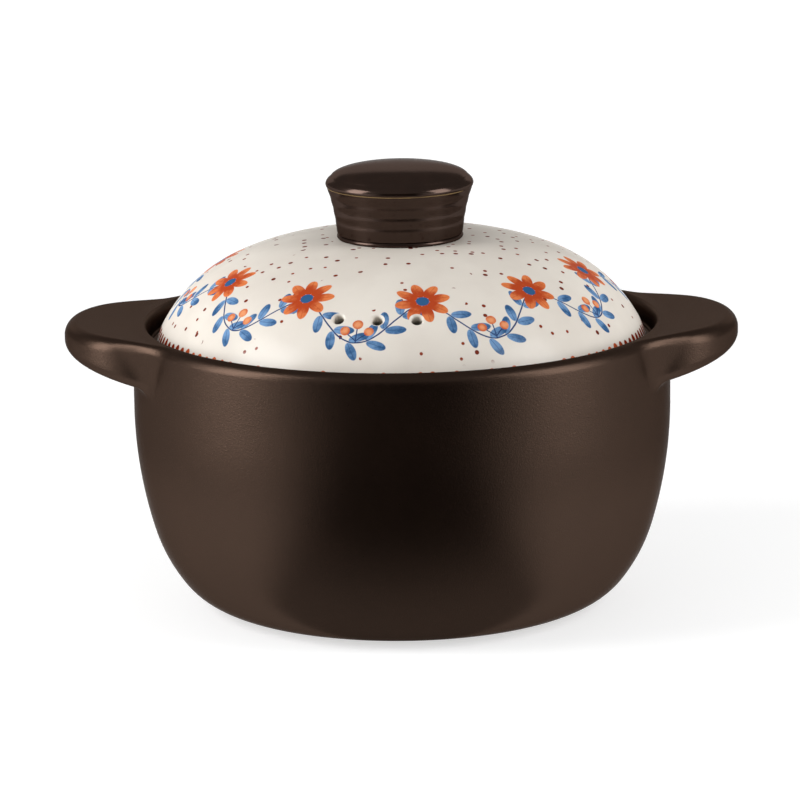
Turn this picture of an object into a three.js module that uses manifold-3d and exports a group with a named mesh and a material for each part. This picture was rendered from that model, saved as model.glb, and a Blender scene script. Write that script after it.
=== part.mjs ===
// Clay pot with two lug handles and a domed, vented lid with a knob.
// Millimetres, +Z up, base on z = 0 with the pot's axis on Z and the handles along X; the front faces -Y.
import * as THREE from 'three';
import { mergeVertices } from 'three/addons/utils/BufferGeometryUtils.js';
import Module from 'manifold-3d';

const wasm = await Module();
wasm.setup();

// Gap left between pieces that are luted or rest on each other.
const FIT = 0.3;
// Sides of every round piece, and how finely the outlines are stepped.
const SIDES = 64;
const HEEL_STEPS = 6;
const WALL_STEPS = 3;
const LIP_STEPS = 4;
const DOME_STEPS = 6;
const EDGE_STEPS = 3;
const RING_STEPS = 4;
const CAP_STEPS = 9;
const OVAL_STEPS = 14;
const VENT_SIDES = 20;
// Points closer than this are one point.
const WELD = 1e-4;

// Pot body.
const WALL_RADIUS = 113;
const RIM_HEIGHT = 120;
const WALL = 8;
// Outside arcs from the upright wall down to the foot, as shares of the rim height.
const BELLY_SHARE = 1.486;
const HAUNCH_SHARE = 0.564;
const HEEL_SHARE = 0.243;
// Angles below the horizontal at which one arc hands over to the next.
const BELLY_END = rad(16.85);
const HAUNCH_END = rad(37.7);
// Foot ring and the shallow recess inside it.
const FOOT_WIDTH = 9;
const RECESS_DEPTH = 1.5;
const RECESS_SLOPE = 3;

// Rim and the gallery inside it that carries the lid.
const LIP_OUTER = 4.5;
const LIP_INNER = 2;
const GALLERY_DEPTH = 9;
const LEDGE_WIDTH = 7.5;
const LEDGE_THICKNESS = 4;
const LEDGE_CHAMFER = 8;

// Lug handles.
const HANDLE_REACH = 29.5;
const HANDLE_WIDTH = 96;
const HANDLE_ROOT_THICKNESS = 16.5;
const HANDLE_TIP_THICKNESS = 10.8;
const HANDLE_EDGE = 4.5;
// The top face starts this far below the rim and rises this much towards the tip.
const HANDLE_DROP = 0.4;
const HANDLE_RISE = 2.3;
// Power of the oval plan; 2 is an ellipse and more is squarer.
const HANDLE_POWER = 2.4;
// How far inside the wall the oval of the handle has its middle.
const HANDLE_INSET = 8;

// Lid.
const LID_GAP = 3.6;
const LID_WALL = 5.5;
const LID_EDGE = 0.9;
// Outside arcs of the dome, as shares of the lid radius, and the angles where they meet.
const SHOULDER_SHARE = 0.678;
const SKIRT_SHARE = 0.346;
const CROWN_END = rad(77.7);
const SHOULDER_END = rad(36.1);
const SKIRT_END = rad(12);

// Steam vents, a row of three drilled square to the dome where its normal rises at VENT_RISE.
const VENT_COUNT = 3;
const VENT_DIAMETER = 5.2;
const VENT_PITCH = 16;
const VENT_RISE = rad(50);
// The lid lies turned a little in its gallery, so the row stands left of the front.
const VENT_TURN = rad(6.5);

// Knob.
const KNOB_FOOT_RADIUS = 26.4;
const KNOB_ARRIS_RADIUS = 30.7;
const KNOB_CAP_RADIUS = 31.3;
const KNOB_HEIGHT = 31.9;
const KNOB_ARRIS_HEIGHT = 21.6;
const KNOB_CAP_HEIGHT = 23.1;
// Power of the oval that rounds the cap over; 2 is an ellipse and more is squarer.
const KNOB_CAP_POWER = 2.35;
const RING_COUNT = 4;
const RING_DEPTH = 0.4;
// Spigot that the knob is luted in by, bored so that the hollow knob can breathe in the kiln.
const SPIGOT_RADIUS = 17;
const BORE_RADIUS = 11;
const BORE_RISE = 16;
// Flat left on the crown of the lid around the foot of the knob.
const SEAT_MARGIN = 2.6;

// Sizes that follow from the ones above.
const BELLY = BELLY_SHARE * RIM_HEIGHT;
const HAUNCH = HAUNCH_SHARE * RIM_HEIGHT;
const HEEL = HEEL_SHARE * RIM_HEIGHT;
const GALLERY_RADIUS = WALL_RADIUS - LIP_OUTER - LIP_INNER;
const LEDGE_HEIGHT = RIM_HEIGHT - GALLERY_DEPTH;
const LID_RADIUS = GALLERY_RADIUS - LID_GAP;
const LID_BOTTOM = LEDGE_HEIGHT + FIT;
const SEAT_RADIUS = KNOB_FOOT_RADIUS + SEAT_MARGIN;

const GLAZE_DARK = { color: 0x3a2c25, roughness: 0.45, metalness: 0 };
const GLAZE_CREAM = { color: 0xded7cd, roughness: 0.15, metalness: 0 };
const GLAZE_KNOB = { color: 0x33251e, roughness: 0.15, metalness: 0 };

function rad(degrees) {
  return (degrees * Math.PI) / 180;
}

// Point on an arc's circle, in an outline of radius across and height up.
function onArc(centre, radius, angle) {
  return new THREE.Vector2(centre.x + radius * Math.cos(angle), centre.y + radius * Math.sin(angle));
}

function arcPoints(centre, radius, from, to, steps) {
  return Array.from({ length: steps + 1 }, (_, i) => onArc(centre, radius, from + ((to - from) * i) / steps));
}

// Centre of the next arc in a chain, so that it leaves the last one smoothly at the angle given.
function nextCentre(centre, radius, nextRadius, angle) {
  return onArc(centre, radius - nextRadius, angle);
}

// Point on a squared oval with half-axes of 1.
function ovalPoint(angle, power) {
  const across = Math.cos(angle);
  const up = Math.sin(angle);
  return new THREE.Vector2(
    Math.sign(across) * Math.abs(across) ** (2 / power),
    Math.sign(up) * Math.abs(up) ** (2 / power),
  );
}

// Outline turned about Z.
function turned(points) {
  const clean = points.filter((p, i) => i === 0 || p.distanceTo(points[i - 1]) > WELD);
  return new THREE.LatheGeometry(clean, SIDES).rotateX(Math.PI / 2);
}

function solid(geometry) {
  const bare = geometry.clone();
  bare.deleteAttribute('normal');
  bare.deleteAttribute('uv');
  const merged = mergeVertices(bare, WELD);
  const mesh = new wasm.Mesh({
    numProp: 3,
    vertProperties: new Float32Array(merged.attributes.position.array),
    triVerts: new Uint32Array(merged.index.array),
  });
  mesh.merge();
  return new wasm.Manifold(mesh);
}

function geometryOf(body) {
  const mesh = body.getMesh();
  const geometry = new THREE.BufferGeometry();
  geometry.setAttribute('position', new THREE.BufferAttribute(new Float32Array(mesh.vertProperties), 3));
  geometry.setIndex(new THREE.BufferAttribute(new Uint32Array(mesh.triVerts), 1));
  return geometry;
}

function piece(name, body, finish) {
  const geometry = geometryOf(body);
  geometry.computeVertexNormals();
  const mesh = new THREE.Mesh(geometry, new THREE.MeshStandardMaterial(finish));
  mesh.name = name;
  return mesh;
}

// Side of the pot from the foot up to the start of the lip; a positive inset gives the inside.
function potSide(inset) {
  const heelUp = HEEL + (HAUNCH - HEEL) * Math.sin(HAUNCH_END) + (BELLY - HAUNCH) * Math.sin(BELLY_END);
  const belly = new THREE.Vector2(WALL_RADIUS - BELLY, heelUp);
  const haunch = nextCentre(belly, BELLY, HAUNCH, -BELLY_END);
  const heel = nextCentre(haunch, HAUNCH, HEEL, -HAUNCH_END);
  return [
    ...arcPoints(heel, HEEL - inset, -Math.PI / 2, -HAUNCH_END, HEEL_STEPS),
    ...arcPoints(haunch, HAUNCH - inset, -HAUNCH_END, -BELLY_END, WALL_STEPS),
    ...arcPoints(belly, BELLY - inset, -BELLY_END, 0, WALL_STEPS),
  ];
}

function lipPoints(grow) {
  const middle = new THREE.Vector2(WALL_RADIUS - LIP_OUTER, RIM_HEIGHT - LIP_OUTER);
  return arcPoints(middle, LIP_OUTER + grow, 0, Math.PI / 2, LIP_STEPS);
}

function potBody() {
  const outside = potSide(0);
  const inside = potSide(WALL).reverse();
  const recess = outside[0].x - FOOT_WIDTH;
  const lipInner = new THREE.Vector2(GALLERY_RADIUS + LIP_INNER, RIM_HEIGHT - LIP_INNER);
  const ledge = GALLERY_RADIUS - LEDGE_WIDTH;
  const underLedge = LEDGE_HEIGHT - LEDGE_THICKNESS;
  return solid(turned([
    new THREE.Vector2(0, RECESS_DEPTH),
    new THREE.Vector2(recess - RECESS_SLOPE, RECESS_DEPTH),
    new THREE.Vector2(recess, 0),
    ...outside,
    ...lipPoints(0),
    ...arcPoints(lipInner, LIP_INNER, Math.PI / 2, Math.PI, EDGE_STEPS),
    new THREE.Vector2(GALLERY_RADIUS, LEDGE_HEIGHT),
    new THREE.Vector2(ledge, LEDGE_HEIGHT),
    new THREE.Vector2(ledge, underLedge),
    new THREE.Vector2(WALL_RADIUS - WALL, underLedge - LEDGE_CHAMFER),
    ...inside,
    new THREE.Vector2(0, WALL),
  ]));
}

// Everything inside the outside of the pot, grown by the fit, to cut the handle roots with.
function potEnvelope() {
  const outside = potSide(-FIT);
  return solid(turned([
    new THREE.Vector2(0, outside[0].y),
    ...outside,
    ...lipPoints(FIT),
    new THREE.Vector2(0, RIM_HEIGHT + FIT),
  ]));
}

// Oval lug on the +X side: a plate with rounded edges that rises outwards and thickens towards the wall.
function handle(turn) {
  const middle = WALL_RADIUS - HANDLE_INSET;
  const reach = HANDLE_REACH + HANDLE_INSET;
  const half = HANDLE_WIDTH / 2;
  const oval = Array.from({ length: 2 * OVAL_STEPS + 1 }, (_, i) => {
    const point = ovalPoint((Math.PI / 2) * (i / OVAL_STEPS - 1), HANDLE_POWER);
    return new THREE.Vector2(middle + reach * point.x, half * point.y);
  });
  const plan = new THREE.Shape([
    new THREE.Vector2(middle - half, -half),
    ...oval,
    new THREE.Vector2(middle - half, half),
  ]);
  const plate = new THREE.ExtrudeGeometry(plan, {
    depth: HANDLE_TIP_THICKNESS - 2 * HANDLE_EDGE,
    bevelEnabled: true,
    bevelThickness: HANDLE_EDGE,
    bevelSize: HANDLE_EDGE,
    bevelOffset: -HANDLE_EDGE,
    bevelSegments: EDGE_STEPS,
  });
  // Hang the plate from its top face, then lean it and stretch it downwards by the distance from the tip.
  plate.translate(0, 0, HANDLE_EDGE - HANDLE_TIP_THICKNESS);
  const position = plate.attributes.position;
  for (let i = 0; i < position.count; i++) {
    const inwards = (middle + reach - position.getX(i)) / HANDLE_REACH;
    const thickness = HANDLE_TIP_THICKNESS + (HANDLE_ROOT_THICKNESS - HANDLE_TIP_THICKNESS) * inwards;
    const lean = HANDLE_RISE * (1 - inwards);
    position.setZ(i, (position.getZ(i) * thickness) / HANDLE_TIP_THICKNESS + lean);
  }
  plate.translate(0, 0, RIM_HEIGHT - HANDLE_DROP);
  plate.rotateZ(turn);
  return solid(plate).subtract(potEnvelope());
}

// Arcs of the dome from the flat crown to the lower edge; the crown arc fits between the others.
function dome() {
  const shoulder = SHOULDER_SHARE * LID_RADIUS;
  const skirt = SKIRT_SHARE * LID_RADIUS;
  const spread = skirt * Math.cos(SKIRT_END) + (shoulder - skirt) * Math.cos(SHOULDER_END);
  const crown = shoulder + (LID_RADIUS - SEAT_RADIUS - spread) / Math.cos(CROWN_END);
  const rise = skirt * Math.sin(SKIRT_END) + (shoulder - skirt) * Math.sin(SHOULDER_END);
  const crownRise = rise + (crown - shoulder) * Math.sin(CROWN_END);
  const crownCentre = new THREE.Vector2(SEAT_RADIUS, LID_BOTTOM + LID_EDGE - crownRise);
  const shoulderCentre = nextCentre(crownCentre, crown, shoulder, CROWN_END);
  const skirtCentre = nextCentre(shoulderCentre, shoulder, skirt, SHOULDER_END);
  return { crown, shoulder, skirt, crownCentre, shoulderCentre, skirtCentre, seat: crownCentre.y + crown };
}

function domePoints(arcs, inset, edgeAngle) {
  return [
    ...arcPoints(arcs.crownCentre, arcs.crown - inset, Math.PI / 2, CROWN_END, EDGE_STEPS),
    ...arcPoints(arcs.shoulderCentre, arcs.shoulder - inset, CROWN_END, SHOULDER_END, DOME_STEPS),
    ...arcPoints(arcs.skirtCentre, arcs.skirt - inset, SHOULDER_END, edgeAngle, EDGE_STEPS),
  ];
}

function lid() {
  const arcs = dome();
  const hole = SPIGOT_RADIUS + FIT;
  const innerEdge = Math.asin((LID_BOTTOM - arcs.skirtCentre.y) / (arcs.skirt - LID_WALL));
  const shell = solid(turned([
    new THREE.Vector2(hole, arcs.seat - LID_WALL),
    ...domePoints(arcs, LID_WALL, innerEdge),
    new THREE.Vector2(LID_RADIUS - LID_EDGE, LID_BOTTOM),
    ...domePoints(arcs, 0, SKIRT_END).reverse(),
    new THREE.Vector2(hole, arcs.seat),
    new THREE.Vector2(hole, arcs.seat - LID_WALL),
  ]));
  const mouth = onArc(arcs.shoulderCentre, arcs.shoulder, VENT_RISE);
  const drill = new THREE.CylinderGeometry(VENT_DIAMETER / 2, VENT_DIAMETER / 2, 4 * LID_WALL, VENT_SIDES);
  drill.rotateX(-VENT_RISE);
  let drilled = shell;
  for (let i = 0; i < VENT_COUNT; i++) {
    const along = (i - (VENT_COUNT - 1) / 2) * VENT_PITCH;
    const vent = drill.clone();
    vent.translate(0, -mouth.x, mouth.y);
    vent.rotateZ(along / mouth.x - VENT_TURN);
    drilled = drilled.subtract(solid(vent));
  }
  return drilled;
}

function knob() {
  const seat = dome().seat;
  const foot = seat + FIT;
  const capRise = KNOB_HEIGHT - KNOB_CAP_HEIGHT;
  const ringSteps = RING_STEPS * RING_COUNT;
  const stem = Array.from({ length: ringSteps + 1 }, (_, i) => {
    const up = i / ringSteps;
    const ring = RING_DEPTH * Math.abs(Math.sin(Math.PI * RING_COUNT * up));
    const radius = KNOB_FOOT_RADIUS + (KNOB_ARRIS_RADIUS - KNOB_FOOT_RADIUS) * up * up + ring;
    return new THREE.Vector2(radius, foot + KNOB_ARRIS_HEIGHT * up);
  });
  // The cap stands out past the arris and rounds over to a low crown.
  const cap = Array.from({ length: CAP_STEPS + 1 }, (_, i) => {
    const angle = ((Math.PI / 2) * i) / CAP_STEPS;
    const point = ovalPoint(angle, KNOB_CAP_POWER);
    return new THREE.Vector2(KNOB_CAP_RADIUS * point.x, foot + KNOB_CAP_HEIGHT + capRise * point.y);
  });
  return solid(turned([
    new THREE.Vector2(0, seat + BORE_RISE),
    new THREE.Vector2(BORE_RADIUS, seat + BORE_RISE),
    new THREE.Vector2(BORE_RADIUS, seat - LID_WALL),
    new THREE.Vector2(SPIGOT_RADIUS, seat - LID_WALL),
    new THREE.Vector2(SPIGOT_RADIUS, foot),
    ...stem,
    ...cap,
  ]));
}

const pot = new THREE.Group();
pot.name = 'clay_pot';
pot.add(piece('pot_body', potBody(), GLAZE_DARK));
pot.add(piece('right_handle', handle(0), GLAZE_DARK));
pot.add(piece('left_handle', handle(Math.PI), GLAZE_DARK));
pot.add(piece('lid', lid(), GLAZE_CREAM));
pot.add(piece('knob', knob(), GLAZE_KNOB));

export default pot;
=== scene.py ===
"""Clay pot with lug handles and a domed, vented lid: its looks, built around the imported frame.

Sizes are worked out in millimetres and turned into metres where meshes are made. The stage, the
lamps and the camera are in metres.
"""

import math

import bmesh
import bpy
import numpy as np
from mathutils import Matrix, Vector


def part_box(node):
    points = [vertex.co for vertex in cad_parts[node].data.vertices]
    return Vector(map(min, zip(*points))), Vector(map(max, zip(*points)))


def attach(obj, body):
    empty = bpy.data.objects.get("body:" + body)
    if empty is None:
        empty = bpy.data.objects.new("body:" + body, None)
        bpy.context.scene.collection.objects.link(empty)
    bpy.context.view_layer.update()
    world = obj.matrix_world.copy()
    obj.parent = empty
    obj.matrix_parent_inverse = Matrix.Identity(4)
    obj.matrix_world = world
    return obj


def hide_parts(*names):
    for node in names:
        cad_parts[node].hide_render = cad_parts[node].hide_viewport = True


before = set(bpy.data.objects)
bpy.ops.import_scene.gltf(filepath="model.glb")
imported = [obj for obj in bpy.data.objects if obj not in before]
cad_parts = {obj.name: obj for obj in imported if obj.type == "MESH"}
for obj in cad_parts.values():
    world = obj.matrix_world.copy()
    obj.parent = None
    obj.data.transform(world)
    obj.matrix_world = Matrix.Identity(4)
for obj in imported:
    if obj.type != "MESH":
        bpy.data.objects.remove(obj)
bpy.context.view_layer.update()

MM = 0.001


def extent(node):
    """Highest corner of a CAD node and its lowest height, in millimetres."""
    low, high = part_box(node)
    return high.x / MM, high.y / MM, high.z / MM, low.z / MM


# Driving sizes, from the frame.
WALL_RADIUS, _, RIM, _ = extent("pot_body")
HANDLE_TIP, HANDLE_HALF, _, _ = extent("right_handle")
LID_RADIUS, _, _, LID_BOTTOM = extent("lid")
CAP_RADIUS, _, _, SPIGOT_BOTTOM = extent("knob")

# Pot: side arcs from the wall down to the foot, wall, foot ring, lip and gallery.
BELLY, HAUNCH, HEEL = 1.486 * RIM, 0.564 * RIM, 0.243 * RIM
BELLY_END, HAUNCH_END = math.radians(16.85), math.radians(37.7)
WALL = 8
FOOT_WIDTH, RECESS_DEPTH, RECESS_SLOPE = 9, 1.5, 3
LIP_OUTER, LIP_INNER, LIP_DIP = 4.5, 2, 4.5
GALLERY_DEPTH, LEDGE_WIDTH, LEDGE_THICKNESS, LEDGE_CHAMFER = 9, 7.5, 4, 8
POT_SOFT, OUTSIDE_STEPS, INSIDE_STEPS, LIP_STEPS = 1.5, 14, 10, 10

# Handles: an oval in plan, rising a little and thinning outwards, with a fillet round the root.
LUG_TIP, LUG_HALF = HANDLE_TIP - 1, HANDLE_HALF - 2.5
LUG_INSET, LUG_POWER, LUG_RISE = 8, 2.15, 1.4
UNDER_ROOT, UNDER_TIP = 18.5, 10.6
UNDER_EDGE, TOP_EDGE = 4.5, 5.5
FILLET_TOP, FILLET_UNDER = 14, 4.5

# Skin of the rim and handles: rays from an eye inside the wall find it, down to RIM_DEPTH.
EYE_INSET, EYE_DEPTH, RIM_DEPTH = 2, 10, 32
RAYS, RAY_LENGTH, RAY_STEP, HALVINGS = 420, 60, 0.5, 30
RIM_ROWS = 64

# Columns of the pot, in degrees from X: each start with its step, fine where a handle ends.
HANDLE_STOPS = ((0, 1.0), (10, 0.35), (30, 1.0), (38, 1.0))
PLAIN_START, PLAIN_COLUMNS = 38, 84

# Lid: arcs of the dome, its foot and neck, the row of vents, and columns in degrees, fine at the vents.
LID_WALL, LID_EDGE = 5.5, 0.9
SHOULDER, SKIRT = 0.61 * LID_RADIUS, 0.346 * LID_RADIUS
CROWN_END, SHOULDER_END, SKIRT_LEAN = math.radians(67), math.radians(30), math.radians(16)
SEAT_RADIUS, SPIGOT_GAP = 29, 0.3
LID_FOOT, LID_FOOT_SOFT, NECK_SOFT = 1.2, 0.9, 0.6
FOOT_IN, FOOT_OUT, BARE_HEIGHT = 0.3, 0.1, 0.3
DOME_INSIDE_STEPS, DOME_OUTSIDE_STEPS = (16, 24, 8), (40, 60, 16)
VENT_COUNT, VENT_RADIUS, VENT_PITCH, VENT_MOUTH = 3, 2.2, 16, 1.2
VENT_RISE, VENT_TURN = math.radians(50), math.radians(6.5)
DRILL_DEPTH, DRILL_TOP, DRILL_COLUMNS = 3 * LID_WALL, 1, 32
LID_STEP, VENT_STEP, VENT_REGION = 2.5, 0.4, 20

# Knob: a stem that widens to an arris, a soft band above it and a low cap. Heights count from the seat.
KNOB_FOOT, STEM_TAPER, STEM_FLARE, STEM_START = 26, 2.8, 1.8, 0.1
ARRIS_HEIGHT, KNOB_HEIGHT = 21.85, 31.3
BAND_BULGE, BAND_HEIGHT = 0.7, 2
CAP_BASE, CAP_INSET, CAP_POWER, CAP_START = 24.75, 2.1, 2.35, math.radians(10)
RING_FIRST, RING_PITCH, RING_DEPTH = 0.39, 0.213, 0.13
SPIGOT, BORE, BORE_RISE, WELL_SOFT = 17, 11, 16, 0.8
BEAD, BEAD_OUT, KNOB_SINK = 1.0, 0.5, 0.05
STEM_STEPS, BAND_STEPS, CAP_STEPS, KNOB_COLUMNS = 72, 16, 40, 128


# Outlines, as rows of (radius, height).


def arc(centre, radius, start, end, steps):
    angle = np.linspace(start, end, steps + 1)
    return np.column_stack((centre[0] + radius * np.cos(angle), centre[1] + radius * np.sin(angle)))


def on_arc(centre, radius, angle):
    return np.array((centre[0] + radius * math.cos(angle), centre[1] + radius * math.sin(angle)))


def softened(points, reach, steps=4):
    """The path with each inner corner rounded, from at most reach before it to reach after it."""
    points = np.array(points, float)
    path = [points[:1]]
    t = np.linspace(0, 1, steps + 1)[:, None]
    for before, corner, after in zip(points, points[1:], points[2:]):
        ends = []
        for other in (before, after):
            way = other - corner
            length = np.linalg.norm(way)
            ends.append(corner + way / length * min(reach, 0.45 * length))
        path.append((1 - t) ** 2 * ends[0] + 2 * t * (1 - t) * corner + t**2 * ends[1])
    path.append(points[-1:])
    return np.vstack(path)


def distinct(path):
    """The path without points that repeat the one before."""
    gap = np.linalg.norm(np.diff(path, axis=0), axis=1)
    return path[np.concatenate(([True], gap > 1e-5))]


def pot_side(inset, steps):
    """Side of the pot from the foot up to the upright wall; a positive inset gives the inside."""
    up = HEEL + (HAUNCH - HEEL) * math.sin(HAUNCH_END) + (BELLY - HAUNCH) * math.sin(BELLY_END)
    belly = (WALL_RADIUS - BELLY, up)
    haunch = on_arc(belly, BELLY - HAUNCH, -BELLY_END)
    heel = on_arc(haunch, HAUNCH - HEEL, -HAUNCH_END)
    return np.vstack((
        arc(heel, HEEL - inset, -math.pi / 2, -HAUNCH_END, steps),
        arc(haunch, HAUNCH - inset, -HAUNCH_END, -BELLY_END, steps),
        arc(belly, BELLY - inset, -BELLY_END, 0, steps),
    ))


def dome_arcs():
    """Radius of the crown that makes the dome's arcs meet, and the centres of the three arcs."""
    spread_out = SKIRT * math.cos(SKIRT_LEAN) + (SHOULDER - SKIRT) * math.cos(SHOULDER_END)
    crown = SHOULDER + (LID_RADIUS - SEAT_RADIUS - spread_out) / math.cos(CROWN_END)
    rise = SKIRT * math.sin(SKIRT_LEAN) + (SHOULDER - SKIRT) * math.sin(SHOULDER_END)
    rise += (crown - SHOULDER) * math.sin(CROWN_END)
    crown_centre = (SEAT_RADIUS, LID_BOTTOM + LID_EDGE - rise)
    shoulder_centre = on_arc(crown_centre, crown - SHOULDER, CROWN_END)
    skirt_centre = on_arc(shoulder_centre, SHOULDER - SKIRT, SHOULDER_END)
    return crown, crown_centre, shoulder_centre, skirt_centre


CROWN, CROWN_CENTRE, SHOULDER_CENTRE, SKIRT_CENTRE = dome_arcs()
SEAT = CROWN_CENTRE[1] + CROWN


def dome_path(inset, steps):
    """The dome from its seat down to where its foot begins; a positive inset gives the inside."""
    foot = math.asin((LID_BOTTOM + LID_FOOT - SKIRT_CENTRE[1]) / (SKIRT - inset))
    return np.vstack((
        arc(CROWN_CENTRE, CROWN - inset, math.pi / 2, CROWN_END, steps[0]),
        arc(SHOULDER_CENTRE, SHOULDER - inset, CROWN_END, SHOULDER_END, steps[1]),
        arc(SKIRT_CENTRE, SKIRT - inset, SHOULDER_END, foot, steps[2]),
    ))


# Rim with its handles, as a rounded solid that rays are cast at.


def rounded_and(a, b, radius):
    """Where both solids are, by their distances, with the edge between them rounded."""
    corner = np.hypot(np.maximum(radius + a, 0), np.maximum(radius + b, 0))
    return np.minimum(-radius, np.maximum(a, b)) + corner


def rounded_or(a, b, radius):
    """Where either solid is, with a fillet between them."""
    corner = np.hypot(np.maximum(radius - a, 0), np.maximum(radius - b, 0))
    return np.maximum(radius, np.minimum(a, b)) - corner


def rim_distance(x, y, z):
    """Roughly how far a point lies outside the upright wall with its handles and rounded lip."""
    middle = WALL_RADIUS - LUG_INSET
    reach = LUG_TIP - middle
    across = np.abs(x) - middle
    out = np.abs(across / reach) ** LUG_POWER + np.abs(y / LUG_HALF) ** LUG_POWER
    steep = np.hypot(across / reach**2, y / LUG_HALF**2)
    steep = steep / (np.hypot(across / reach, y / LUG_HALF) + 1e-9)
    oval = (out ** (1 / LUG_POWER) - 1) / (steep + 1e-9)
    slope = (UNDER_ROOT - UNDER_TIP) / (LUG_TIP - WALL_RADIUS)
    under = RIM - UNDER_TIP - slope * (LUG_TIP - np.abs(x)) - z
    lug = rounded_and(oval, under / math.hypot(1, slope), UNDER_EDGE)
    up = np.clip((z - RIM + UNDER_ROOT) / UNDER_ROOT, 0, 1)
    fillet = FILLET_UNDER + (FILLET_TOP - FILLET_UNDER) * up
    side = rounded_or(np.hypot(x, y) - WALL_RADIUS, lug, fillet)
    outward = np.clip((np.hypot(x, y) - WALL_RADIUS) / (LUG_TIP - WALL_RADIUS), 0, 1)
    top = RIM + LUG_RISE * outward * (2 - outward)
    return rounded_and(side, z - top, LIP_OUTER + (TOP_EDGE - LIP_OUTER) * outward)


def rim_sections(angles, rows):
    """Outlines of the rim in upright half-planes at these angles from X, each with that many points."""
    eye = np.array((WALL_RADIUS - EYE_INSET, RIM - EYE_DEPTH))
    low = np.array((WALL_RADIUS, RIM - RIM_DEPTH)) - eye
    crest = np.array((WALL_RADIUS - LIP_OUTER + 0.05, RIM)) - eye
    heading = np.linspace(math.atan2(low[1], low[0]), math.atan2(crest[1], crest[0]), RAYS)[None, :]
    turn = np.asarray(angles)[:, None]

    def distance(t):
        radius = eye[0] + t * np.cos(heading)
        height = eye[1] + t * np.sin(heading)
        return rim_distance(radius * np.cos(turn), radius * np.sin(turn), height)

    inside = np.zeros((len(angles), RAYS))
    outside = np.zeros_like(inside)
    found = np.zeros(inside.shape, bool)
    for t in np.arange(RAY_STEP, RAY_LENGTH, RAY_STEP):
        hit = ~found & (distance(np.full_like(inside, t)) > 0)
        inside[hit], outside[hit] = t - RAY_STEP, t
        found |= hit
    for _ in range(HALVINGS):
        middle = (inside + outside) / 2
        out = distance(middle) > 0
        outside = np.where(out, middle, outside)
        inside = np.where(out, inside, middle)
    radius = eye[0] + inside * np.cos(heading)
    height = eye[1] + inside * np.sin(heading)
    return np.stack([evened(section, rows) for section in np.stack((radius, height), axis=-1)])


def evened(path, count):
    """The path with that many points, closer together where it bends."""
    step = np.diff(path, axis=0)
    length = np.concatenate(([0], np.cumsum(np.linalg.norm(step, axis=1))))
    heading = np.unwrap(np.arctan2(step[:, 1], step[:, 0]))
    bend = np.concatenate(([0, 0], np.cumsum(np.abs(np.diff(heading)))))
    place = 0.6 * length / length[-1] + 0.4 * bend / bend[-1]
    at = np.linspace(0, 1, count)
    return np.column_stack([np.interp(at, place, path[:, i]) for i in (0, 1)])


# Meshes.


def around(count):
    return np.linspace(0, math.tau, count + 1)[:-1]


def spread(*stops):
    """Numbers through (start, step) stops, the last being the end."""
    runs = [np.arange(a, b, step) for (a, step), (b, _) in zip(stops, stops[1:])]
    return np.concatenate(runs)


def turned(path, angles):
    """Grid of points of a path turned about Z. Its radii and heights may change from column to column."""
    path = np.asarray(path)
    if path.ndim == 2:
        path = path[:, None, :]
    radius, height = path[..., 0], path[..., 1]
    rings = np.broadcast_arrays(radius * np.cos(angles), radius * np.sin(angles), height)
    return np.stack(rings, axis=-1)


def grid_object(name, grid, row_slots, materials, loop=False):
    """Closed mesh from rows of rings. A row on the axis is one point; loop joins last row and first."""
    rows, columns = grid.shape[:2]
    index = np.zeros((rows, columns), int)
    points = []
    for i in range(rows):
        pole = np.abs(grid[i, :, :2]).max() < 1e-6
        index[i] = len(points) + (0 if pole else np.arange(columns))
        points.extend(grid[i, :1] if pole else grid[i])
    faces, slots = [], []
    for i in range(rows if loop else rows - 1):
        k = (i + 1) % rows
        for j in range(columns):
            n = (j + 1) % columns
            corners = (index[i, j], index[i, n], index[k, n], index[k, j])
            faces.append(list(dict.fromkeys(corners)))
            slots.append(row_slots[i])
    mesh = bpy.data.meshes.new(name)
    mesh.from_pydata((np.array(points) * MM).tolist(), [], faces)
    mesh.polygons.foreach_set("material_index", slots)
    for material in materials:
        mesh.materials.append(material)
    shell = bmesh.new()
    shell.from_mesh(mesh)
    bmesh.ops.recalc_face_normals(shell, faces=shell.faces)
    shell.to_mesh(mesh)
    shell.free()
    mesh.polygons.foreach_set("use_smooth", [True] * len(mesh.polygons))
    mesh.update()
    return linked(name, mesh)


def linked(name, data):
    """A new object in the scene."""
    made = bpy.data.objects.new(name, data)
    bpy.context.scene.collection.objects.link(made)
    return made


# Shader formulas.


def put(tree, socket, value):
    """Links a Num or a socket to the socket, or sets it to a plain value."""
    if isinstance(value, Num):
        tree.links.new(value.socket, socket)
    elif isinstance(value, bpy.types.NodeSocket):
        tree.links.new(value, socket)
    else:
        socket.default_value = value


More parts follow.
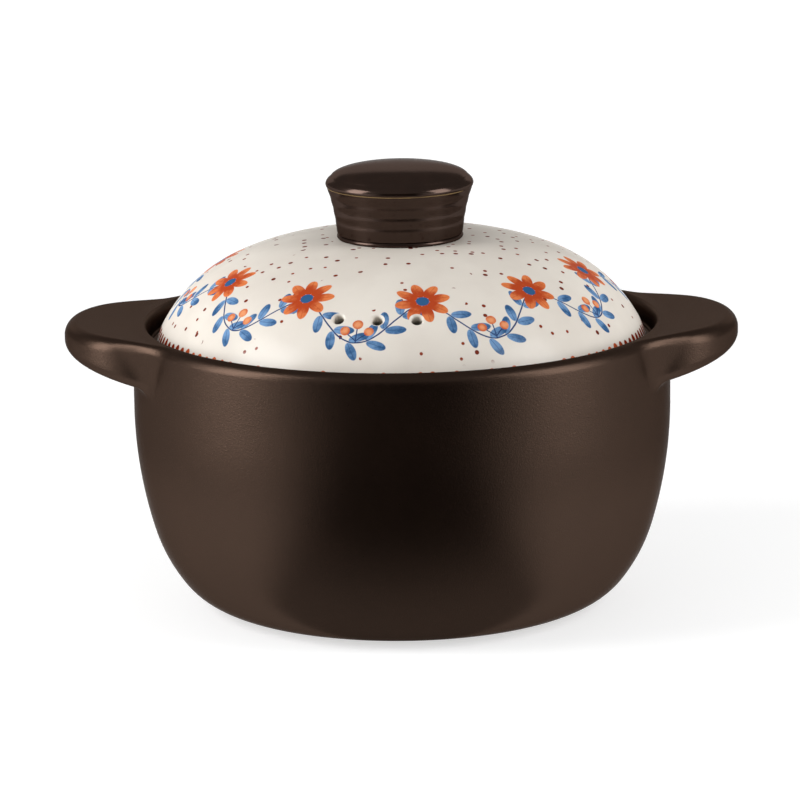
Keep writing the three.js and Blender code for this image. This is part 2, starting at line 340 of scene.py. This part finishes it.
class Num:
    """A number in a shader, so that formulas can be written with plain operators."""

    def __init__(self, tree, socket):
        self.tree = tree
        self.socket = socket

    def math(self, operation, *values):
        node = self.tree.nodes.new("ShaderNodeMath")
        node.operation = operation
        for socket, value in zip(node.inputs, values):
            put(self.tree, socket, value)
        return Num(self.tree, node.outputs[0])

    def __add__(self, other):
        return self.math("ADD", self, other)

    def __sub__(self, other):
        return self.math("SUBTRACT", self, other)

    def __rsub__(self, other):
        return self.math("SUBTRACT", other, self)

    def __mul__(self, other):
        return self.math("MULTIPLY", self, other)

    def __truediv__(self, other):
        return self.math("DIVIDE", self, other)

    __radd__ = __add__
    __rmul__ = __mul__

    def sqrt(self):
        return self.math("SQRT", self)

    def abs(self):
        return self.math("ABSOLUTE", self)

    def sin(self):
        return self.math("SINE", self)

    def cos(self):
        return self.math("COSINE", self)

    def floor(self):
        return self.math("FLOOR", self)

    def fract(self):
        return self.math("FRACT", self)

    def min(self, other):
        return self.math("MINIMUM", self, other)

    def max(self, other):
        return self.math("MAXIMUM", self, other)

    def over(self, other):
        """Angle of a point this far up and other across."""
        return self.math("ARCTAN2", self, other)

    def ramp(self, low, high):
        """0 below low, 1 above high, with a smooth step between; low may be the larger."""
        node = self.tree.nodes.new("ShaderNodeMapRange")
        node.interpolation_type = "SMOOTHSTEP"
        backwards = low > high
        put(self.tree, node.inputs["Value"], self)
        put(self.tree, node.inputs["From Min"], min(low, high))
        put(self.tree, node.inputs["From Max"], max(low, high))
        put(self.tree, node.inputs["To Min"], 1.0 if backwards else 0.0)
        put(self.tree, node.inputs["To Max"], 0.0 if backwards else 1.0)
        return Num(self.tree, node.outputs["Result"])

    def below(self, edge, blur):
        """1 below the edge and 0 above it, blurred this far to both sides."""
        return self.ramp(edge + blur, edge - blur)


def far(across, up):
    """How far a point lies from the origin."""
    return (across * across + up * up).sqrt()


def srgb(red, green, blue):
    """A colour from 0 to 255 as a screen shows it, in the linear values that shaders take."""
    def linear(c):
        c /= 255
        return c / 12.92 if c <= 0.04045 else ((c + 0.055) / 1.055) ** 2.4

    return (linear(red), linear(green), linear(blue), 1.0)


def noise(tree, where, scale, detail=2.0, roughness=0.5):
    node = tree.nodes.new("ShaderNodeTexNoise")
    put(tree, node.inputs["Vector"], where)
    put(tree, node.inputs["Scale"], scale)
    put(tree, node.inputs["Detail"], detail)
    put(tree, node.inputs["Roughness"], roughness)
    return Num(tree, node.outputs[0])


def laid_over(tree, mask, below, above):
    """Colour with another laid over it where the mask is 1."""
    node = tree.nodes.new("ShaderNodeMix")
    node.data_type = "RGBA"
    put(tree, node.inputs[0], mask)
    put(tree, node.inputs[6], below)
    put(tree, node.inputs[7], above)
    return node.outputs[2]


def bumped(tree, shader, height, strength, depth):
    """Bump from a height of 0 to 1, of this depth in metres."""
    node = tree.nodes.new("ShaderNodeBump")
    put(tree, node.inputs["Height"], height)
    put(tree, node.inputs["Strength"], strength)
    put(tree, node.inputs["Distance"], depth)
    tree.links.new(node.outputs["Normal"], shader.inputs["Normal"])


def new_material(name):
    """A new material, with its tree, its shader and the place on the object in millimetres."""
    material = bpy.data.materials.new(name)
    material.use_nodes = True
    tree = material.node_tree
    shader = tree.nodes["Principled BSDF"]
    scale = tree.nodes.new("ShaderNodeVectorMath")
    scale.operation = "SCALE"
    scale.inputs["Scale"].default_value = 1 / MM
    tree.links.new(tree.nodes.new("ShaderNodeTexCoord").outputs["Object"], scale.inputs[0])
    return material, tree, shader, scale.outputs[0]


def parts(tree, vector):
    """The three numbers of a vector."""
    node = tree.nodes.new("ShaderNodeSeparateXYZ")
    put(tree, node.inputs[0], vector)
    return [Num(tree, s) for s in node.outputs]


# Glazes and clay. A gloss is the share of red, green and blue light that the glaze mirrors head on.
GLAZE_INDEX = 5.0
POT_GLOSS, KNOB_GLOSS, CREAM_GLOSS = (0.041, 0.0266, 0.0198), (0.048, 0.0328, 0.0270), (0.022, 0.022, 0.022)
DARK_BROWN, POT_BROWN, KNOB_BROWN = srgb(18, 11, 8), srgb(22, 14, 10), srgb(24, 15, 11)
GRAIN_BROWN, ARRIS_OCHRE = srgb(46, 32, 25), srgb(134, 112, 74)
CREAM_DARK, CREAM_LIGHT = srgb(215, 207, 197), srgb(224, 217, 207)
OCHRE_RISE, OCHRE_HALF, OCHRE_BLUR = 0.05, 0.16, 0.12


def glossed(tree, shader, gloss, roughness):
    """Gives the shader a gloss that is about as strong at a glance as head on.

    So high an index of refraction keeps the edges from paling, and the tint sets the strength.
    """
    head_on = ((GLAZE_INDEX - 1) / (GLAZE_INDEX + 1)) ** 2
    put(tree, shader.inputs["IOR"], GLAZE_INDEX)
    put(tree, shader.inputs["Specular Tint"], (*[share / head_on for share in gloss], 1.0))
    put(tree, shader.inputs["Roughness"], roughness)


def pot_glaze():
    """Dark brown satin glaze with a fine grain."""
    material, tree, shader, place = new_material("dark_satin_glaze")
    grain = noise(tree, place, 1.5, 3.0, 0.6)
    cloud = noise(tree, place, 0.035, 3.0)
    brown = laid_over(tree, cloud.ramp(0.3, 0.7), DARK_BROWN, POT_BROWN)
    brown = laid_over(tree, grain.ramp(0.55, 0.8) * 0.4, brown, GRAIN_BROWN)
    put(tree, shader.inputs["Base Color"], brown)
    glossed(tree, shader, POT_GLOSS, 0.24 + grain * 0.12)
    bumped(tree, shader, grain, 0.45, 0.0002)
    return material


def bare_clay(name, light, dark):
    """Unglazed clay with fine grog."""
    material, tree, shader, place = new_material(name)
    grain = noise(tree, place, 1.1, 4.0, 0.7)
    put(tree, shader.inputs["Base Color"], laid_over(tree, grain.ramp(0.35, 0.7), light, dark))
    put(tree, shader.inputs["Roughness"], 0.75 + grain * 0.15)
    bumped(tree, shader, grain, 0.4, 0.0003)
    return material


def knob_glaze():
    """Glossy dark brown glaze that breaks to a thin ochre line on the arris."""
    material, tree, shader, place = new_material("dark_gloss_glaze")
    _, _, z = parts(tree, place)
    cloud = noise(tree, place, 0.12, 3.0)
    brown = laid_over(tree, cloud.ramp(0.3, 0.7), DARK_BROWN, KNOB_BROWN)
    line = (z - (SEAT + ARRIS_HEIGHT + OCHRE_RISE)).abs().below(OCHRE_HALF, OCHRE_BLUR)
    worn = noise(tree, place, 0.05, 2.0).ramp(0.36, 0.5)
    brown = laid_over(tree, line * worn, brown, ARRIS_OCHRE)
    put(tree, shader.inputs["Base Color"], brown)
    glossed(tree, shader, KNOB_GLOSS, 0.13 + cloud * 0.1)
    bumped(tree, shader, cloud, 0.05, 0.0006)
    return material


def cream_coat(tree, place):
    """Colour of the bare cream glaze, a little uneven."""
    cloud = noise(tree, place, 0.03, 4.0)
    return laid_over(tree, cloud.ramp(0.3, 0.7), CREAM_DARK, CREAM_LIGHT)


def finish_cream(tree, shader, place, colour):
    """Colour, gloss and soft ripples of the cream glaze."""
    put(tree, shader.inputs["Base Color"], colour)
    ripple = noise(tree, place, 0.14, 2.0)
    glossed(tree, shader, CREAM_GLOSS, 0.16 + ripple * 0.1)
    bumped(tree, shader, ripple, 0.04, 0.001)


def cream_glaze():
    material, tree, shader, place = new_material("cream_glaze")
    finish_cream(tree, shader, place, cream_coat(tree, place))
    return material


# Painting on the lid, measured up the dome from its edge and along it.
# Garland: a waving stem with paired leaves, a daisy on each crest and berries in each hollow.
WAVES, WAVE_PHASE = 10, 0.32
STEM_HEIGHT, STEM_SWAY, STEM_WIDTH = 29, 9.5, 0.32
LEAF_NODES, LEAF_TURN = 8, math.radians(42)
LEAF_MIDDLE, LEAF_LONG, LEAF_WIDE, RIB_WIDTH = 5.2, 4.3, 2.0, 0.14
PETALS, DAISY_RISE = 8, 2.0
PETAL_MIDDLE, PETAL_LONG, PETAL_WIDE, EYE_RADIUS = 6.9, 4.7, 2.45, 2.7
BERRY_RADIUS, TOP_BERRY_UP, SIDE_BERRY_OUT, SIDE_BERRY_UP, SIDE_BERRY_LESS = 2.2, 8.6, 4.9, 5.4, 0.2
STALK_MIDDLE, STALK_HALF, STALK_WIDTH = 3.5, 3.2, 0.25
BOUGH_RISE, BOUGH_RUN, BOUGH_FOOT, BOUGH_MIDDLE, BOUGH_HALF = 0.66, 0.75, 0.8, 2.2, 2.0

# Fringe of strokes along the edge, redder in front than at the sides, and specks on the rest.
FRINGE_COUNT = 128
FRINGE_HEIGHT, FRINGE_LONG, FRINGE_WIDE = 4.3, 2.6, 1.75
FRINGE_FRONT, FRINGE_SIDE = 84, 93
DOME_LENGTH = 118
SPECK_PITCH, SPECK_SMALL, SPECK_LARGE = 6.5, 0.68, 1.05
SPECKS_CLUSTERED, SPECKS_ABOVE = 0.4, 0.3

STEM_BLUE = srgb(44, 66, 110)
LEAF_BLUE, LEAF_PALE = srgb(46, 88, 132), srgb(112, 150, 192)
PETAL_RUST, PETAL_PALE = srgb(176, 66, 28), srgb(216, 122, 70)
BERRY_RUST, BERRY_PALE = srgb(196, 88, 44), srgb(224, 150, 104)
FRINGE_BROWN = srgb(128, 42, 22)
SPECK_RUST, SPECK_BROWN = srgb(142, 54, 30), srgb(104, 38, 24)


class Painting:
    """Where a point of the lid lies for the painter, with the colour that is painted so far."""

    def __init__(self, tree, place):
        self.tree = tree
        self.place = place
        self.x, self.y, z = parts(tree, place)
        self.wash = noise(tree, place, 0.22, 3.0, 0.6)
        hand = noise(tree, place, 0.11, 2.0)
        self.radius = far(self.x, self.y)
        self.angle = self.y.over(self.x)
        out, up = SHOULDER_CENTRE
        edge = math.atan2(LID_BOTTOM + LID_EDGE - up, LID_RADIUS - out)
        lean = (z - up).over(self.radius - out)
        self.up = (lean - edge) * SHOULDER + (hand - 0.5) * 1.2
        self.wave = self.angle * (WAVES / math.tau) + WAVE_PHASE
        self.wave_length = self.radius * (math.tau / WAVES)
        self.colour = cream_coat(tree, place)

    def paint(self, mask, colour):
        self.colour = laid_over(self.tree, mask, self.colour, colour)

    def shade(self, mask, below, above):
        return laid_over(self.tree, mask, below, above)

    def stem_height(self, wave):
        return STEM_HEIGHT + (wave * math.tau).cos() * STEM_SWAY

    def stem_slope(self, wave):
        return (wave * math.tau).sin() * (-STEM_SWAY * WAVES) / self.radius

    def specks(self):
        """Specks in loose clusters, on the dome laid out flat, closer together towards the knob."""
        flat = self.tree.nodes.new("ShaderNodeCombineXYZ")
        out = (DOME_LENGTH - self.up) / self.radius
        put(self.tree, flat.inputs["X"], self.x * out)
        put(self.tree, flat.inputs["Y"], self.y * out)
        cells = self.tree.nodes.new("ShaderNodeTexVoronoi")
        cells.voronoi_dimensions = "2D"
        put(self.tree, cells.inputs["Vector"], flat.outputs[0])
        put(self.tree, cells.inputs["Scale"], 1 / SPECK_PITCH)
        chance, girth, _ = parts(self.tree, cells.outputs["Color"])
        cluster = noise(self.tree, self.place, 0.05, 1.0).ramp(0.36, 0.62)
        share = cluster * SPECKS_CLUSTERED + self.up.ramp(20, 90) * SPECKS_ABOVE
        size = SPECK_SMALL + girth * (SPECK_LARGE - SPECK_SMALL)
        from_edge = Num(self.tree, cells.outputs["Distance"]) * SPECK_PITCH - size
        there = (chance - share).below(0, 0.01) * self.up.ramp(8, 12)
        self.paint(from_edge.below(0, 0.12) * there, self.shade(girth, SPECK_RUST, SPECK_BROWN))

    def stem(self):
        slope = self.stem_slope(self.wave)
        aside = (self.up - self.stem_height(self.wave)).abs() / (slope * slope + 1).sqrt()
        self.paint(aside.below(STEM_WIDTH, 0.1), STEM_BLUE)

    def leaves(self):
        """Leaves in pairs at even places along the stem, but for those under a daisy."""
        leaf, rib, tip = None, None, None
        for step in (-1, 0, 1):
            node = ((self.wave * LEAF_NODES).floor() + (0.5 + step)) / LEAF_NODES
            slope = self.stem_slope(node)
            across = (self.wave - node) * self.wave_length
            rise = self.up - self.stem_height(node)
            unit = (slope * slope + 1).sqrt()
            along = (across + slope * rise) / unit
            aside = ((rise - slope * across) / unit).abs()
            length = along * math.cos(LEAF_TURN) + aside * math.sin(LEAF_TURN)
            width = aside * math.cos(LEAF_TURN) - along * math.sin(LEAF_TURN)
            reach = (length - LEAF_MIDDLE) / LEAF_LONG
            girth = width / LEAF_WIDE
            clear = ((node + 0.5).fract() - 0.5).abs().ramp(0.12, 0.13)
            body = (reach * reach + girth * girth).below(1.0, 0.12) * clear
            line = width.abs().below(RIB_WIDTH, 0.1) * body
            darker = (reach * 0.5 + 0.5) * body
            leaf = body if leaf is None else leaf.max(body)
            rib = line if rib is None else rib.max(line)
            tip = darker if tip is None else tip.max(darker)
        depth = (tip * 0.7 + self.wash.ramp(0.35, 0.75) * 0.6).ramp(0.1, 1.0)
        blue = self.shade(depth, LEAF_PALE, LEAF_BLUE)
        self.paint(leaf, self.shade(rib * 0.6, blue, STEM_BLUE))

    def berries(self):
        """Three berries on short stalks in each hollow of the stem."""
        across = (self.wave.fract() - 0.5) * self.wave_length
        rise = self.up - (STEM_HEIGHT - STEM_SWAY)
        side = across.abs()
        stalk = side.max((rise - STALK_MIDDLE).abs() - STALK_HALF).below(STALK_WIDTH, 0.1)
        bough = (side * BOUGH_RISE - (rise - BOUGH_FOOT) * BOUGH_RUN).abs()
        bough = bough.max((side - BOUGH_MIDDLE).abs() - BOUGH_HALF).below(STALK_WIDTH, 0.1)
        self.paint(stalk.max(bough), STEM_BLUE)
        top = far(across, rise - TOP_BERRY_UP)
        pair = far(side - SIDE_BERRY_OUT, rise - SIDE_BERRY_UP)
        berry = top.min(pair + SIDE_BERRY_LESS)
        depth = (berry / BERRY_RADIUS).ramp(0.2, 1.0) * self.wash.ramp(0.3, 0.6)
        self.paint(berry.below(BERRY_RADIUS, 0.15), self.shade(depth, BERRY_PALE, BERRY_RUST))

    def daisies(self):
        """A daisy on each crest of the stem."""
        across = ((self.wave + 0.5).fract() - 0.5) * self.wave_length
        rise = self.up - (STEM_HEIGHT + STEM_SWAY + DAISY_RISE)
        out = far(across, rise)
        turn = (rise.over(across) * (PETALS / math.tau) + 0.25).fract() - 0.5
        turn = turn * (math.tau / PETALS)
        length = (out * turn.cos() - PETAL_MIDDLE) / PETAL_LONG
        width = out * turn.sin() / PETAL_WIDE
        rust = self.shade((length * 0.35 + self.wash).ramp(0.35, 0.8), PETAL_RUST, PETAL_PALE)
        rust = self.shade(width.abs().below(0.06, 0.06) * 0.5, rust, PETAL_RUST)
        self.paint((length * length + width * width).below(1.0, 0.1), rust)
        self.paint(out.below(EYE_RADIUS, 0.15), LEAF_BLUE)

    def fringe(self):
        """Short strokes along the edge, each set a little higher or lower as by hand."""
        count = self.angle * (FRINGE_COUNT / math.tau)
        width = (count.fract() - 0.5) * self.radius * (math.tau / FRINGE_COUNT) / FRINGE_WIDE
        uneven = ((count.floor() * 12.9898).sin() * 43758.5).fract()
        height = (self.up - FRINGE_HEIGHT + uneven) / FRINGE_LONG
        at_side = self.x.abs().ramp(FRINGE_FRONT, FRINGE_SIDE)
        stroke = (width * width + height * height).below(1.0, 0.12)
        self.paint(stroke, self.shade(at_side, BERRY_RUST, FRINGE_BROWN))


def painted_glaze():
    """Cream glaze with specks, the painted garland and the fringe."""
    material, tree, shader, place = new_material("painted_cream_glaze")
    painting = Painting(tree, place)
    painting.specks()
    painting.stem()
    painting.leaves()
    painting.berries()
    painting.daisies()
    painting.fringe()
    finish_cream(tree, shader, place, painting.colour)
    return material


# Pieces.


def pot_columns():
    """Angles of the pot's columns, and for each how far it is from the nearer handle's middle."""
    plain = np.radians(np.linspace(PLAIN_START, 180 - PLAIN_START, PLAIN_COLUMNS))
    quarter = np.concatenate((np.radians(spread(*HANDLE_STOPS)), [plain[0]]))
    half = np.concatenate((quarter, plain[1:-1], math.pi - quarter[::-1]))
    angles = np.concatenate((half, math.pi + half[1:-1]))
    fold = np.abs((angles + math.pi / 2) % math.pi - math.pi / 2)
    return angles, np.minimum(fold, plain[0])


def make_pot():
    """Body, handles, lip, gallery and inside as one glazed skin, the way luted handles look once fired."""
    angles, from_handle = pot_columns()
    unique, place = np.unique(np.round(from_handle, 9), return_inverse=True)
    rim = rim_sections(unique, RIM_ROWS)[place].transpose(1, 0, 2)

    outside = pot_side(0, OUTSIDE_STEPS)
    recess = outside[0, 0] - FOOT_WIDTH
    hollow = [(0, RECESS_DEPTH), (recess - RECESS_SLOPE, RECESS_DEPTH), (recess, 0)]
    foot = softened([*hollow, outside[0]], POT_SOFT)
    lower = distinct(np.vstack((foot, outside[1:])))
    gallery = WALL_RADIUS - LIP_OUTER - LIP_INNER
    ledge = RIM - GALLERY_DEPTH
    lip = arc((0, 0), 1, math.pi / 2, math.pi, LIP_STEPS) * (LIP_INNER, LIP_DIP)
    lip = lip + (gallery + LIP_INNER, RIM - LIP_DIP)
    inside = pot_side(WALL, INSIDE_STEPS)[::-1]
    steps = softened([
        lip[-1],
        (gallery, ledge),
        (gallery - LEDGE_WIDTH, ledge),
        (gallery - LEDGE_WIDTH, ledge - LEDGE_THICKNESS),
        (WALL_RADIUS - WALL, ledge - LEDGE_THICKNESS - LEDGE_CHAMFER),
        inside[0],
    ], POT_SOFT)
    inner = distinct(np.vstack((lip, steps, inside, [(0, WALL)])))
    grid = np.concatenate((turned(lower, angles), turned(rim, angles), turned(inner, angles)))

    glaze_slot, clay_slot = 0, 1
    slots = [glaze_slot] * len(grid)
    for i in range(len(foot) - 1):
        slots[i] = clay_slot
    for i, (radius, height) in enumerate(inner, len(lower) + RIM_ROWS):
        if abs(height - ledge) < 0.2 and radius < gallery - 1:
            slots[i] = clay_slot
    clay = bare_clay("brown_clay", srgb(122, 96, 78), srgb(96, 74, 60))
    pot = grid_object("pot_glazed", grid, slots, [pot_glaze(), clay])
    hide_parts("pot_body", "left_handle", "right_handle")
    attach(pot, "pot")


def make_lid():
    """Dome that is painted outside and plain inside, with bare clay where it stands in the gallery."""
    hole = SPIGOT + SPIGOT_GAP
    inside = dome_path(LID_WALL, DOME_INSIDE_STEPS)
    outside = dome_path(0, DOME_OUTSIDE_STEPS)[::-1]
    corners = [(inside[-1][0] + FOOT_IN, LID_BOTTOM), (outside[0][0] - FOOT_OUT, LID_BOTTOM)]
    foot = softened([inside[-1], *corners, outside[0]], LID_FOOT_SOFT)
    neck = softened([outside[-1], (hole, SEAT), (hole, SEAT - LID_WALL), inside[0]], NECK_SOFT)
    loop = distinct(np.vstack((inside, foot, outside, neck)))[:-1]

    painted_slot, cream_slot, clay_slot = 0, 1, 2
    highest = np.maximum(loop[:, 1], np.roll(loop[:, 1], -1))
    slots = [clay_slot if height < LID_BOTTOM + BARE_HEIGHT else cream_slot for height in highest]
    first = len(distinct(np.vstack((inside, foot)))) - 1
    for i in range(first, first + len(outside)):
        slots[i] = painted_slot

    middle = math.degrees(-math.pi / 2 - VENT_TURN)
    angles = np.radians(spread(
        (middle - 180, LID_STEP),
        (middle - VENT_REGION, VENT_STEP),
        (middle + VENT_REGION, LID_STEP),
        (middle + 180, LID_STEP),
    ))
    clay = bare_clay("pale_clay", srgb(216, 204, 186), srgb(196, 182, 162))
    materials = [painted_glaze(), cream_glaze(), clay]
    lid = grid_object("lid_painted", turned(loop, angles), slots, materials, loop=True)
    drill_vents(lid, materials[cream_slot])
    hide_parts("lid")
    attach(lid, "lid")


def drill_vents(lid, glaze):
    """Cuts the vents with drills that flare where they leave the glaze, so that each mouth is soft."""
    mouth_radius = VENT_RADIUS + VENT_MOUTH
    path = np.vstack((
        [(0, -DRILL_DEPTH), (VENT_RADIUS, -DRILL_DEPTH)],
        arc((mouth_radius, -VENT_MOUTH), VENT_MOUTH, math.pi, math.pi / 2, 8),
        [(mouth_radius + 0.1, DRILL_TOP), (0, DRILL_TOP)],
    ))
    out, up = on_arc(SHOULDER_CENTRE, SHOULDER, VENT_RISE)
    tilt = Matrix.Rotation(math.pi / 2 - VENT_RISE, 4, "X")
    shift = Matrix.Translation((0, -out * MM, up * MM))
    drills = []
    for i in range(VENT_COUNT):
        turn = (i - (VENT_COUNT - 1) / 2) * VENT_PITCH / out - VENT_TURN
        grid = turned(path, around(DRILL_COLUMNS))
        drill = grid_object(f"drill_{i}", grid, [0] * len(path), [glaze])
        drill.data.transform(Matrix.Rotation(turn, 4, "Z") @ shift @ tilt)
        cut = lid.modifiers.new(drill.name, "BOOLEAN")
        cut.operation = "DIFFERENCE"
        cut.solver = "EXACT"
        cut.material_mode = "TRANSFER"
        cut.object = drill
        drills.append(drill)
    graph = bpy.context.evaluated_depsgraph_get()
    drilled = bpy.data.meshes.new_from_object(lid.evaluated_get(graph))
    lid.modifiers.clear()
    lid.data = drilled
    for drill in drills:
        bpy.data.objects.remove(drill)


def make_knob():
    """Hollow knob with its spigot, a bead at the foot, a ringed stem, a band and a cap."""
    foot = SEAT - KNOB_SINK
    bead_centre = (KNOB_FOOT - BEAD + BEAD_OUT, foot + BEAD)
    bead = arc(bead_centre, BEAD, -math.pi / 2, math.pi / 2, 10)
    up = np.linspace(STEM_START, 1, STEM_STEPS)
    turn = math.tau * np.maximum(up - RING_FIRST, -RING_PITCH / 2) / RING_PITCH
    ring = RING_DEPTH * (1 + np.cos(turn)) / 2
    stem = np.column_stack((
        KNOB_FOOT + STEM_TAPER * up + STEM_FLARE * up**3 - ring,
        foot + ARRIS_HEIGHT * up,
    ))
    angle = np.linspace(CAP_START, math.pi / 2, CAP_STEPS)
    cap = np.column_stack((
        (CAP_RADIUS - CAP_INSET) * np.cos(angle) ** (2 / CAP_POWER),
        foot + CAP_BASE + (KNOB_HEIGHT - CAP_BASE) * np.sin(angle) ** (2 / CAP_POWER),
    ))
    cap[-1, 0] = 0
    bulge = np.array((CAP_RADIUS + BAND_BULGE, foot + ARRIS_HEIGHT + BAND_HEIGHT))
    t = np.linspace(0, 1, BAND_STEPS + 1)[1:, None]
    band = (1 - t) ** 2 * stem[-1] + 2 * t * (1 - t) * bulge + t**2 * cap[0]
    well = softened([
        (0, SEAT + BORE_RISE),
        (BORE, SEAT + BORE_RISE),
        (BORE, SPIGOT_BOTTOM),
        (SPIGOT, SPIGOT_BOTTOM),
        (SPIGOT, foot),
        bead[0],
    ], WELL_SOFT)
    path = distinct(np.vstack((well, bead, stem, band, cap)))
    grid = turned(path, around(KNOB_COLUMNS))
    knob = grid_object("knob_glazed", grid, [0] * len(path), [knob_glaze()])
    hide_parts("knob")
    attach(knob, "lid")


# Stage. The floor's glow, as the camera sees it and as reflections do; ramps are in mm from the axis.
FLOOR_SIDE = 40
FLOOR_GREY, FLOOR_PALE = srgb(200, 200, 200), srgb(204, 204, 204)
SEEN_NEAR, SEEN_FAR, SEEN_RAMP = 0.58, 1.0, (250, 2000)
MIRRORED_LOW, MIRRORED_HIGH = 0.45, 1.0
MIRRORED_CLOSE, MIRRORED_AWAY = (320, 190), (700, 2000)

# Flag, a black card before the pot: its ends and heights, half widths, and glow along sides and near end.
# The ramp of the sides counts in half widths, that of the near end along Y in millimetres.
FLAG_BLACK, FLAG_GREY = srgb(8, 8, 8), srgb(14, 14, 14)
FLAG_NEAR, FLAG_FAR, FLAG_RISE, FLAG_TOP = -0.08, -1.7, 0.002, 0.9
FLAG_NARROW, FLAG_WIDE = 0.085, 1.7
FLAG_SIDE, FLAG_SIDE_RAMP = 0.8, (0.4, 1.0)
FLAG_END, FLAG_END_RAMP = 0.64, (-195, -75)

# Sky strength overhead and along the horizon, and the camera, fitted to the photo's outline.
SKY_TOP, SKY_LOW = 0.3, 0.38
SENSOR, LENS, ROLL = 36, 218.5, math.radians(-0.75)
CAMERA_PLACE, CAMERA_TARGET = Vector((0, -2.0, 0.534)), Vector((-0.00095, 0, 0.0847))


def matt(tree, shader, place, scale, dark, light):
    """Dull surface in two close tones that can also glow white."""
    tone = noise(tree, place, scale, 2.0)
    put(tree, shader.inputs["Base Color"], laid_over(tree, tone, dark, light))
    put(tree, shader.inputs["Roughness"], 0.9)
    put(tree, shader.inputs["Specular IOR Level"], 0.0)
    put(tree, shader.inputs["Emission Color"], (1, 1, 1, 1))


def stage_object(name, points, faces, material):
    mesh = bpy.data.meshes.new(name)
    mesh.from_pydata(points, [], faces)
    mesh.materials.append(material)
    return linked(name, mesh)


def make_floor():
    """Pale floor that keeps a soft shadow. The camera sees it lifted towards white, more so far off.

    Reflections see it white close to the pot and far off, and greyer between.
    """
    material, tree, shader, place = new_material("floor")
    matt(tree, shader, place, 0.002, FLOOR_GREY, FLOOR_PALE)
    x, y, _ = parts(tree, place)
    away = far(x, y)
    lift = SEEN_NEAR + away.ramp(*SEEN_RAMP) * (SEEN_FAR - SEEN_NEAR)
    white = away.ramp(*MIRRORED_CLOSE).max(away.ramp(*MIRRORED_AWAY))
    mirrored = MIRRORED_LOW + white * (MIRRORED_HIGH - MIRRORED_LOW)
    ray = tree.nodes.new("ShaderNodeLightPath")
    camera, glossy, passed = (
        Num(tree, ray.outputs[f"Is {kind} Ray"]) for kind in ("Camera", "Glossy", "Transmission")
    )
    put(tree, shader.inputs["Emission Strength"], (glossy.max(passed) * mirrored).max(camera * lift))
    half = FLOOR_SIDE / 2
    points = [(-half, -half, 0), (half, -half, 0), (half, half, 0), (-half, half, 0)]
    floor = stage_object("floor", points, [(0, 1, 2, 3)], material)


def make_flag():
    """Black card on the floor and upright before the pot, fading to white at its near end and sides.

    Only reflections see it, and it keeps the middle of the dark glaze dark.
    """
    material, tree, shader, place = new_material("flag")
    matt(tree, shader, place, 0.4, FLAG_BLACK, FLAG_GREY)
    x, y, _ = parts(tree, place)
    widening = (FLAG_WIDE - FLAG_NARROW) / (FLAG_NEAR - FLAG_FAR)
    half = FLAG_NARROW / MM + (FLAG_NEAR / MM - y) * widening
    beside = FLAG_SIDE + far(x, y).ramp(*MIRRORED_CLOSE) * (MIRRORED_HIGH - MIRRORED_LOW)
    sides = (x.abs() / half).ramp(*FLAG_SIDE_RAMP) * beside
    end = y.ramp(*FLAG_END_RAMP) * FLAG_END
    put(tree, shader.inputs["Emission Strength"], sides.max(end))
    points = [
        (-FLAG_NARROW, FLAG_NEAR, FLAG_RISE),
        (FLAG_NARROW, FLAG_NEAR, FLAG_RISE),
        (FLAG_WIDE, FLAG_FAR, FLAG_RISE),
        (-FLAG_WIDE, FLAG_FAR, FLAG_RISE),
        (FLAG_WIDE, FLAG_FAR, FLAG_TOP),
        (-FLAG_WIDE, FLAG_FAR, FLAG_TOP),
    ]
    flag = stage_object("flag", points, [(0, 1, 2, 3), (3, 2, 4, 5)], material)
    flag.visible_camera = False
    flag.visible_diffuse = False
    flag.visible_shadow = False


def softbox(name, azimuth, elevation, distance, width, height, radiance):
    """Area lamp aimed at the pot; azimuth is counted in degrees from the camera's side, to the right."""
    light = bpy.data.lights.new(name, "AREA")
    light.shape = "RECTANGLE"
    light.size, light.size_y = width, height
    light.energy = radiance * math.pi * width * height
    turn, rise = math.radians(azimuth), math.radians(elevation)
    way = Vector((math.sin(turn) * math.cos(rise), -math.cos(turn) * math.cos(rise), math.sin(rise)))
    lamp = linked(name, light)
    lamp.location = way * distance + Vector((0, 0, RIM * MM))
    lamp.rotation_euler = way.to_track_quat("Z", "Y").to_euler()


def make_light():
    """A tall box on each side, a wide panel behind and a sky that is a little paler along the horizon."""
    side_box = {"elevation": 20, "distance": 1.0, "width": 0.5, "height": 0.95}
    softbox("left_box", azimuth=-73, radiance=7.8, **side_box)
    softbox("right_box", azimuth=69, radiance=5.4, **side_box)
    softbox("back_panel", azimuth=180, elevation=14, distance=2.6, width=3.0, height=1.0, radiance=1.2)
    world = bpy.data.worlds.new("studio")
    world.use_nodes = True
    tree = world.node_tree
    _, _, up = parts(tree, tree.nodes.new("ShaderNodeTexCoord").outputs["Generated"])
    low = (1 - up.max(0)).max(0)
    sky = tree.nodes["Background"]
    put(tree, sky.inputs["Color"], (1.0, 1.0, 1.0, 1.0))
    put(tree, sky.inputs["Strength"], SKY_TOP + low * low * low * low * (SKY_LOW - SKY_TOP))
    bpy.context.scene.world = world


def make_camera():
    """Camera of the photo: a long lens, nearly 13 degrees above the table."""
    data = bpy.data.cameras.new("camera")
    data.sensor_width = SENSOR
    data.lens = LENS
    camera = linked("camera", data)
    camera.location = CAMERA_PLACE
    aim = (CAMERA_TARGET - CAMERA_PLACE).to_track_quat("-Z", "Y").to_matrix().to_4x4()
    camera.rotation_euler = (aim @ Matrix.Rotation(ROLL, 4, "Z")).to_euler()
    bpy.context.scene.camera = camera


make_pot()
make_lid()
make_knob()
make_floor()
make_flag()
make_light()
make_camera()
bpy.context.scene.view_settings.view_transform = "Standard"
